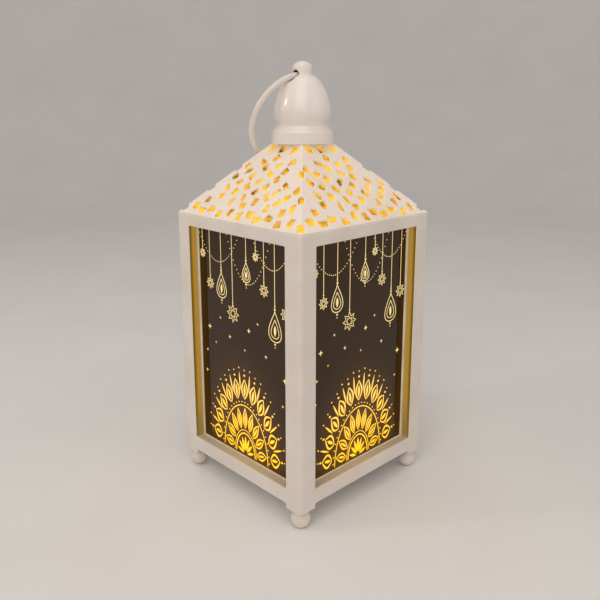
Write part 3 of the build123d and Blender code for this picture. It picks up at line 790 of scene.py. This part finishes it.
def skin_triangles(shape, inside, on_rim):
    """Two triangles a cell, cut across a corner inside an opening; those in an opening are dropped."""
    a, b, c, d = grid_faces(*shape).T
    other = (inside[b] | inside[d])[:, None]
    first = np.where(other, np.stack([a, b, c], 1), np.stack([a, b, d], 1))
    second = np.where(other, np.stack([a, c, d], 1), np.stack([b, c, d], 1))
    triangles = np.concatenate([first, second])
    return triangles[~inside[triangles].any(1) & ~on_rim[triangles].all(1)]


def closed_shell(triangles, count):
    """The upper triangles, the same ones turned over below, and a wall under every edge of the sheet."""
    start = np.concatenate([triangles[:, [0, 1]], triangles[:, [1, 2]], triangles[:, [2, 0]]])
    lone = start[~np.isin(start[:, 0] * count + start[:, 1], start[:, 1] * count + start[:, 0])]
    i, j = lone.T
    walls = np.concatenate([np.stack([j, i, i + count], 1), np.stack([j, i + count, j + count], 1)])
    return np.concatenate([triangles, triangles[:, ::-1] + count, walls])


def on_slope(spot, depth):
    """Points of the front roof face: across, up the slope, and so deep below it."""
    y = -half + spot.imag * slope_cos + depth * slope_sin
    z = frame_top + spot.imag * slope_sin - depth * slope_cos
    return np.stack([spot.real, y, z], -1).reshape(-1, 3)


skin_faces = closed_shell(skin_triangles(spot.shape, inside, on_rim), spot.size)
skin_points = np.concatenate([on_slope(spot, depth), on_slope(under_side(spot, width), thickness)])
used, skin_faces = np.unique(skin_faces, return_inverse=True)
skin_points, skin_faces = skin_points[used], skin_faces.reshape(-1, 3)
skins = add_four("roof_skin", sides, skin_points, skin_faces, roof_glow_abs, smooth=50.0)
for skin, side in zip(skins, sides):
    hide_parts(f"roof_panel_{side}")
print("roof skin:", len(skin_faces), "triangles a side")

# %% [markdown]
# ## Finial, ring and feet
#
# The finial's CAD shape is right, cross hole included, but its triangles are loose and would show as facets
# on a glossy turning. A welded copy with smooth shading takes its place. The ring is a torus and each foot a
# ball on a short neck, both surfaces of two angles.

# %% Finial
cad_mesh = frame["nodes"]["finial"].data
finial_faces = np.empty(len(cad_mesh.loops), np.int32)
cad_mesh.loops.foreach_get("vertex_index", finial_faces)
finial_faces = finial_faces.reshape(-1, 3)
finial = add_piece("turned_finial", mesh_points(cad_mesh), finial_faces, gloss_abs, smooth=32.0)
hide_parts("finial")
print("finial:", len(finial.data.polygons), "faces")

# %% Ring
wire_radius = 1.7 * mm
ring_steps, wire_steps = 160, 24


def ring_points():
    """Torus: a circle of the wire's radius carried round a circle in the plane that leans on the roof.

    The last circle lies on the first one, and welding joins them.
    """
    low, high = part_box("carry_ring")
    radius = (high.y - low.y) / 2 - wire_radius
    lean = np.arcsin((-low.x - wire_radius) / (2 * radius))
    turn = np.linspace(0, 2 * np.pi, ring_steps + 1)[:, None]
    tilt = np.linspace(0, 2 * np.pi, wire_steps, endpoint=False)
    out = radius + wire_radius * np.cos(tilt)
    down = radius - out * np.cos(turn)
    side = out * np.sin(turn)
    away = wire_radius * np.sin(tilt)
    x = -down * np.sin(lean) - away * np.cos(lean)
    z = -down * np.cos(lean) + away * np.sin(lean)
    return (np.stack([x, side, z], -1) + hinge).reshape(-1, 3)


ring_faces = grid_faces(ring_steps + 1, wire_steps, wrap=True)
ring = add_piece("carrying_ring", ring_points(), ring_faces, enamel, body="carry_ring", slot="white_wire")
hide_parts("carry_ring")
print("ring:", len(ring.data.vertices), "points")

# %% Feet
foot_flat, neck_start, neck_reach = 0.4 * mm, np.pi - 0.42, 0.8 * mm
ball_steps = 28


def lathe(profile, count=64):
    """Points and faces of an outline of (radius, height) rows turned about the upright axis."""
    turn = np.linspace(0, 2 * np.pi, count, endpoint=False)
    radius, height = profile.T[:, :, None]
    points = np.broadcast_arrays(radius * np.cos(turn), radius * np.sin(turn), height)
    return np.stack(points, -1).reshape(-1, 3), grid_faces(len(profile), count, wrap=True)


def foot_profile():
    """Ball cut flat below, (radius sin a, centre - radius cos a), and then a neck up into the post."""
    low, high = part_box("foot_front_left")
    radius = (high.x - low.x) / 2
    centre = radius - foot_flat
    angle = np.linspace(np.arccos(centre / radius), neck_start, ball_steps)
    ball = np.stack([radius * np.sin(angle), centre - radius * np.cos(angle)], -1)
    neck = np.array([[ball[-1, 0], post_bottom + neck_reach], [0, post_bottom + neck_reach]])
    return np.concatenate([[[0, 0]], ball, neck])


foot_points, foot_faces = lathe(foot_profile())
post_middle = (half + post_inner) / 2
foot_points = foot_points - [post_middle, post_middle, 0]
feet = add_four("ball_foot", corners, foot_points, foot_faces, white_abs, smooth=40.0)
for foot, corner in zip(feet, corners):
    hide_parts(f"foot_{corner}")
print("feet:", len(feet))

# %% [markdown]
# ## The engraving
#
# Strings of stars, drops and beads hang from the top of each pane, a few sparks float below them, and a fan
# of petals opens from the lit lower edge. A picture on the pane would blur close up, so all of it is drawn
# with strokes. A stroke is a path of complex numbers, across plus i times up in mm, with a half-width at each
# point, so turning and scaling a motif is one multiplication. Every stroke has the same number of points,
# which lets all of them become one array of low half-round ridges.

# %% Strokes
along = np.linspace(0, 1, 33)
hump = np.sin(np.pi * along)


def column(values):
    """Values one below the other, so that each of them gets a stroke of its own."""
    return np.atleast_1d(values)[:, None]


def stroke(path, width):
    """One or more strokes as a pair of arrays: the paths, and the half-widths at their points."""
    path = np.atleast_2d(path)
    return path, np.broadcast_to(width, path.shape)


def bead(centre, radius):
    """Discs: a short level path whose half-width follows a circle."""
    across = 2 * along - 1
    return stroke(column(centre) + radius * across, radius * np.sqrt(1 - across ** 2))


def join(*groups):
    """Several groups of strokes as one."""
    return tuple(np.concatenate(arrays) for arrays in zip(*groups))


print("points in a stroke:", len(along))

# %% Motifs
star_tips, star_notch = 8, 0.56
spark_width, leaf_power = 0.3, 0.8


def star(centre, radius, width):
    """Star outlines: straight sides between two radii, with a corner at every second point of the path."""
    corner = np.arange(2 * star_tips + 1)
    tips = np.where(corner % 2, star_notch, 1.0) * np.exp(1j * np.pi * (0.5 + corner / star_tips))
    outline = np.interp(2 * star_tips * along, corner, tips)
    return stroke(column(centre) + column(radius) * outline, width)


def spark(centre, radius):
    """Four-pointed sparks: a level and an upright stroke that swell in the middle."""
    bar = column(radius) * (2 * along - 1)
    width = column(radius) * spark_width * hump ** 2
    paths = np.concatenate([column(centre) + bar, column(centre) + 1j * bar])
    return stroke(paths, np.concatenate([width, width]))


def drop(top, length, width, line):
    """Teardrop outlines that hang from a point: across is sin a sin(a / 2)^1.5, down is (1 - cos a) / 2."""
    angle = 2 * np.pi * along
    across = column(width) * np.sin(angle) * np.sin(angle / 2) ** 1.5
    return stroke(column(top) + across - 1j * column(length) * (1 - np.cos(angle)) / 2, line)


def leaf(start, end, width):
    """Filled leaves: a straight path from start to end whose half-width is a power of a sine."""
    return stroke(column(start) + column(end - start) * along, width * hump ** leaf_power)


print("a star has", 2 * star_tips, "sides")

# %% [markdown]
# The hanging strings come first. Each has its place across the pane and its length, and ends in a star or a
# drop. Three beaded swags run behind them.

# %% Hanging strings
pane_top_mm = window_top / mm
star_at = np.array([-38.0, -31.0, -9.5, 12.0, 19.0, 37.0])
star_hang = np.array([14.0, 31.0, 44.0, 9.0, 26.0, 36.0])
star_size = np.array([2.8, 3.6, 5.6, 2.6, 3.8, 4.2])
drop_at = np.array([-20.0, 3.5, 28.0])
drop_hang = np.array([26.0, 16.0, 40.0])
drop_size = np.array([16.0, 12.0, 18.0])
drop_wide, heart_share, kernel_width = 0.42, 0.5, 1.2
seed_top, seed_long, seed_wide, kernel_top, kernel_foot = 0.26, 0.62, 0.26, 0.46, 0.82
thread_line, star_line, heart_line, drop_line, seed_line = 0.3, 0.3, 0.26, 0.34, 0.3
neck_beads = ((1.0, 0.75), (2.9, 0.55), (4.5, 0.4))
tail_beads = ((1.4, 0.7), (3.2, 0.45))
crown_lift, crown_size = 1.1, 0.5
swag_spans = np.array([[-43, -2, 20], [-15, 25, 29], [9, 43, 17]])
swag_beads, swag_bead_size, swag_margin = 26, 0.38, 0.02


def hanging_strings():
    """Threads with stars, drops and beads: each thread is a straight stroke down from the window's top."""
    tops = np.concatenate([star_at, drop_at]) + 1j * pane_top_mm
    hangs = np.concatenate([star_hang, drop_hang])
    star_tops = star_at + 1j * (pane_top_mm - star_hang)
    drop_tops = drop_at + 1j * (pane_top_mm - drop_hang)
    star_middles, hanging = star_tops - 1j * star_size, -1j * drop_size
    return join(
        stroke(column(tops) - 1j * column(hangs) * along, thread_line),
        star(star_middles, star_size, star_line),
        star(star_middles, heart_share * star_size, heart_line),
        drop(drop_tops, drop_size, drop_wide * drop_size, drop_line),
        drop(drop_tops + seed_top * hanging, seed_long * drop_size, seed_wide * drop_size, seed_line),
        leaf(drop_tops + kernel_top * hanging, drop_tops + kernel_foot * hanging, kernel_width),
        *[bead(drop_tops + 1j * lift, size) for lift, size in neck_beads],
        *[bead(drop_tops + hanging - 1j * lift, size) for lift, size in tail_beads],
        bead(star_tops + 1j * crown_lift, crown_size),
    )


def swags():
    """Strings of beads that sag between two points of the upper edge: down 4 sag s (1 - s)."""
    share = np.linspace(swag_margin, 1 - swag_margin, swag_beads)
    start, end, sag = swag_spans.T[:, :, None]
    spots = start + (end - start) * share + 1j * (pane_top_mm - 4 * sag * share * (1 - share))
    return bead(spots.ravel(), swag_bead_size)


print("strings:", len(star_at) + len(drop_at), "swags:", len(swag_spans))

# %% [markdown]
# The fan is built of rings of petals about a point on the lower edge. Its petals are stretched upwards, so
# that the fan is taller than it is wide, and its strokes swell and thin like those of a reed pen.

# %% Parts of the fan
fan_foot = 1j * fan_foot_level / mm
petal_taper, thinnest = 0.35, 0.4


def fan_place(ring):
    """Points of the fan from a flat half-disc: stretched upwards, then set on the pane's lower edge."""
    return ring.real + 1j * fan_tall * ring.imag + fan_foot


def fan_angles(count):
    """Directions spread evenly over the half turn above the lower edge."""
    return np.pi * (np.arange(count) + 0.5) / count


def petals(angles, start, end, bulge, line):
    """Pairs of arcs from a ring to another, bowed apart by bulge, with the widest part near the foot."""
    bow = 1j * bulge * hump * (1 - petal_taper * along)
    outline = start + (end - start) * along + np.stack([bow, -bow])[:, None]
    turned_out = (outline * np.exp(1j * column(angles))).reshape(-1, len(along))
    return stroke(fan_place(turned_out), line * (thinnest + (1 - thinnest) * hump))


def petal_hearts(angles, start, end, width):
    """Filled leaves along the middles of petals."""
    way = np.exp(1j * angles)
    return leaf(fan_place(start * way), fan_place(end * way), width)


def fan_arc(radius, line):
    """Half ring about the fan's foot."""
    return stroke(fan_place(radius * np.exp(1j * np.pi * along)), line)


def fan_beads(angles, radius, size):
    """Beads along a half ring."""
    return bead(fan_place(radius * np.exp(1j * angles)), size)


print("fan's foot:", round(fan_foot.imag, 1), "mm up")

# %% Fan and sparks


def fan():
    """Rings of the fan from the foot outwards, with thin leaves and beads between the outer petals."""
    inner, outer = fan_angles(9), fan_angles(11)
    between = (outer[1:] + outer[:-1]) / 2
    return join(
        petal_hearts(fan_angles(7), start=1.5, end=7.6, width=1.05),
        fan_arc(radius=8.8, line=0.5),
        fan_arc(radius=10.2, line=0.28),
        petals(inner, start=11.0, end=19.6, bulge=2.0, line=0.62),
        petal_hearts(inner, start=12.0, end=17.6, width=0.85),
        fan_arc(radius=20.6, line=0.4),
        fan_beads(fan_angles(25), radius=22.0, size=0.5),
        petals(outer, start=23.4, end=31.6, bulge=3.1, line=0.75),
        petal_hearts(outer, start=24.4, end=29.6, width=1.15),
        petal_hearts(between, start=26.6, end=34.4, width=0.7),
        fan_beads(outer, radius=33.2, size=0.8),
        fan_beads(outer, radius=35.4, size=0.5),
        fan_beads(between, radius=36.0, size=0.55),
    )


def sparks():
    """Sparks at places between the strings and the fan."""
    high = [-33 + 100j, -22 + 108j, -13 + 98j, 5 + 106j, 13 + 112j, 20 + 94j]
    low = [-36 + 84j, -27 + 91j, 1 + 93j, 36 + 84j, -37 + 70j, 34 + 68j]
    size = [2.2, 1.2, 1.6, 2.0, 1.2, 1.5, 1.3, 1.0, 1.1, 2.3, 1.5, 1.2]
    return spark(np.array(high + low), np.array(size))


print("fan:", len(fan()[0]), "strokes")

# %% [markdown]
# All strokes become ridges at once. Across a stroke there are five points, and a flat back closes it against
# the pane. The share of the way to the middle is kept as an attribute, which the engraving's finish reads.

# %% Ridges on the panes
ridge_share, ridge_height, ridge_gap = 0.5, 0.22, 0.01
across_ridge = np.array([-1, -0.55, 0, 0.55, 1])


def ridges(paths, widths):
    """Half-round ridges: sideways by the half-width, raised by (1 - s^2); the ends close to a point."""
    way = np.gradient(paths, axis=1)
    way = 1j * way / np.maximum(abs(way), tiny)
    paths, way = (np.concatenate([a[:, :1], a, a[:, -1:]], 1) for a in (paths, way))
    widths = np.pad(widths, ((0, 0), (1, 1)))
    flat = paths[:, :, None] + (way * widths)[:, :, None] * across_ridge
    high = np.minimum(ridge_share * widths, ridge_height)[:, :, None] * (1 - across_ridge ** 2)
    points = np.stack([flat.real, -pane_front / mm - ridge_gap - high, flat.imag], -1) * mm
    faces = grid_faces(paths.shape[1], len(across_ridge), wrap=True)
    start = np.arange(len(paths)) * paths.shape[1] * len(across_ridge)
    core = np.broadcast_to(1 - abs(across_ridge), points.shape[:-1])
    return points.reshape(-1, 3), (faces + start[:, None, None]).reshape(-1, 4), core.ravel()


strokes = join(hanging_strings(), swags(), sparks(), fan())
art_points, art_faces, art_core = ridges(*strokes)
for art in add_four("pane_engraving", sides, art_points, art_faces, engraving, slot="warm_led", weld=False):
    art.data.attributes.new("core", "FLOAT", "POINT").data.foreach_set("value", art_core.astype(np.float32))
    weld_points(art.data)
print("engraving:", len(strokes[0]), "strokes,", len(art_faces), "faces a pane")

# %% [markdown]
# ## Stage, light and camera
#
# A pale floor rises into a backdrop all round, so every view has the same plain ground. A large soft light
# hangs in front and above, a second one over the top, a weaker one fills the other side, and a small lamp at
# the side puts a glint on the finial. The camera stands where the photograph was taken.

# %% Floor
card_drift, fibre_size, fibre_height = 120 * mm, 1.5 * mm, 0.02 * mm


def floor_dish(flat=1.1, bend=0.7, wall=1.0, below=0.2 * mm, rings=120, around=128):
    """Dish just below the feet: flat, then up along a quarter circle, then a straight wall, all in metres."""
    along = np.linspace(0, flat + bend * np.pi / 2 + wall, rings)
    angle = np.clip((along - flat) / bend, 0, np.pi / 2)
    radius = np.where(along < flat, along, flat + bend * np.sin(angle))
    above = np.clip(along - flat - bend * np.pi / 2, 0, None)
    return lathe(np.stack([radius, bend * (1 - np.cos(angle)) + above - below], -1), around)


def pale_card():
    """Matt pale card: a slow drift of its colour and a fibre grain, drawn coarse enough to show."""
    material, tree, surface, place = start_material("pale_matt_card", {"Roughness": 0.6})
    feed(surface, {"Base Color": mottle(tree, place, card_drift, linear("#F0F1F2"), linear("#F5F6F7"))})
    grain(tree, surface, place, fibre_size, fibre_height)
    return material


floor = add_mesh("pale_floor", *floor_dish(), pale_card())
floor.data.flip_normals()
print("floor:", len(floor.data.polygons), "faces")

# %% Camera
azimuth, elevation = np.radians(45.86), np.radians(12.88)
target = Vector((0, 0, 141.2 * mm))
distance = 422.5 * mm
image_pixels, focal_pixels, sensor = 600, 674.9, 36.0
middle_right, middle_up = 2.5, 42.0
level_reach = np.cos(elevation)
toward = Vector((np.sin(azimuth) * level_reach, -np.cos(azimuth) * level_reach, np.sin(elevation)))
camera_data = bpy.data.cameras.new("camera")
camera_data.sensor_width = sensor
camera_data.lens = sensor * focal_pixels / image_pixels
camera_data.shift_x = -middle_right / image_pixels
camera_data.shift_y = -middle_up / image_pixels
camera_data.clip_start = 0.01
camera = bpy.data.objects.new("camera", camera_data)
bpy.context.scene.collection.objects.link(camera)
camera.location = target + distance * toward
camera.rotation_euler = toward.to_track_quat("Z", "Y").to_euler()
bpy.context.scene.camera = camera
print("camera at", [round(v, 3) for v in camera.location])

# %% Lights
light_aim = Vector((0, 0, 130 * mm))


def soft_light(name, bearing, height, away, size, watts, colour):
    """Square area light that looks at the lantern's middle, placed by its bearing from the camera's own."""
    data = bpy.data.lights.new(name, "AREA")
    data.shape = "SQUARE"
    data.size = size
    data.energy = watts
    data.color = linear(colour)[:3]
    light = bpy.data.objects.new(name, data)
    bpy.context.scene.collection.objects.link(light)
    angle = azimuth + np.radians(bearing)
    light.location = Vector((away * np.sin(angle), -away * np.cos(angle), height))
    light.rotation_euler = (light.location - light_aim).to_track_quat("Z", "Y").to_euler()


soft_light("key_light", bearing=-10, height=0.95, away=0.95, size=0.9, watts=4.7, colour="#FFF3E8")
soft_light("fill_light", bearing=62, height=0.6, away=1.0, size=0.8, watts=0.9, colour="#FFF0E2")
soft_light("top_light", bearing=-20, height=1.3, away=0.15, size=0.7, watts=2.6, colour="#FFF8F2")
soft_light("side_lamp", bearing=-77, height=0.58, away=0.8, size=0.08, watts=0.7, colour="#FFF4EA")
world = bpy.data.worlds.new("studio")
world.use_nodes = True
feed(world.node_tree.nodes["Background"], {"Color": linear("#FFF6EE"), "Strength": 0.32})
bpy.context.scene.world = world
bpy.context.scene.view_settings.view_transform = "Standard"
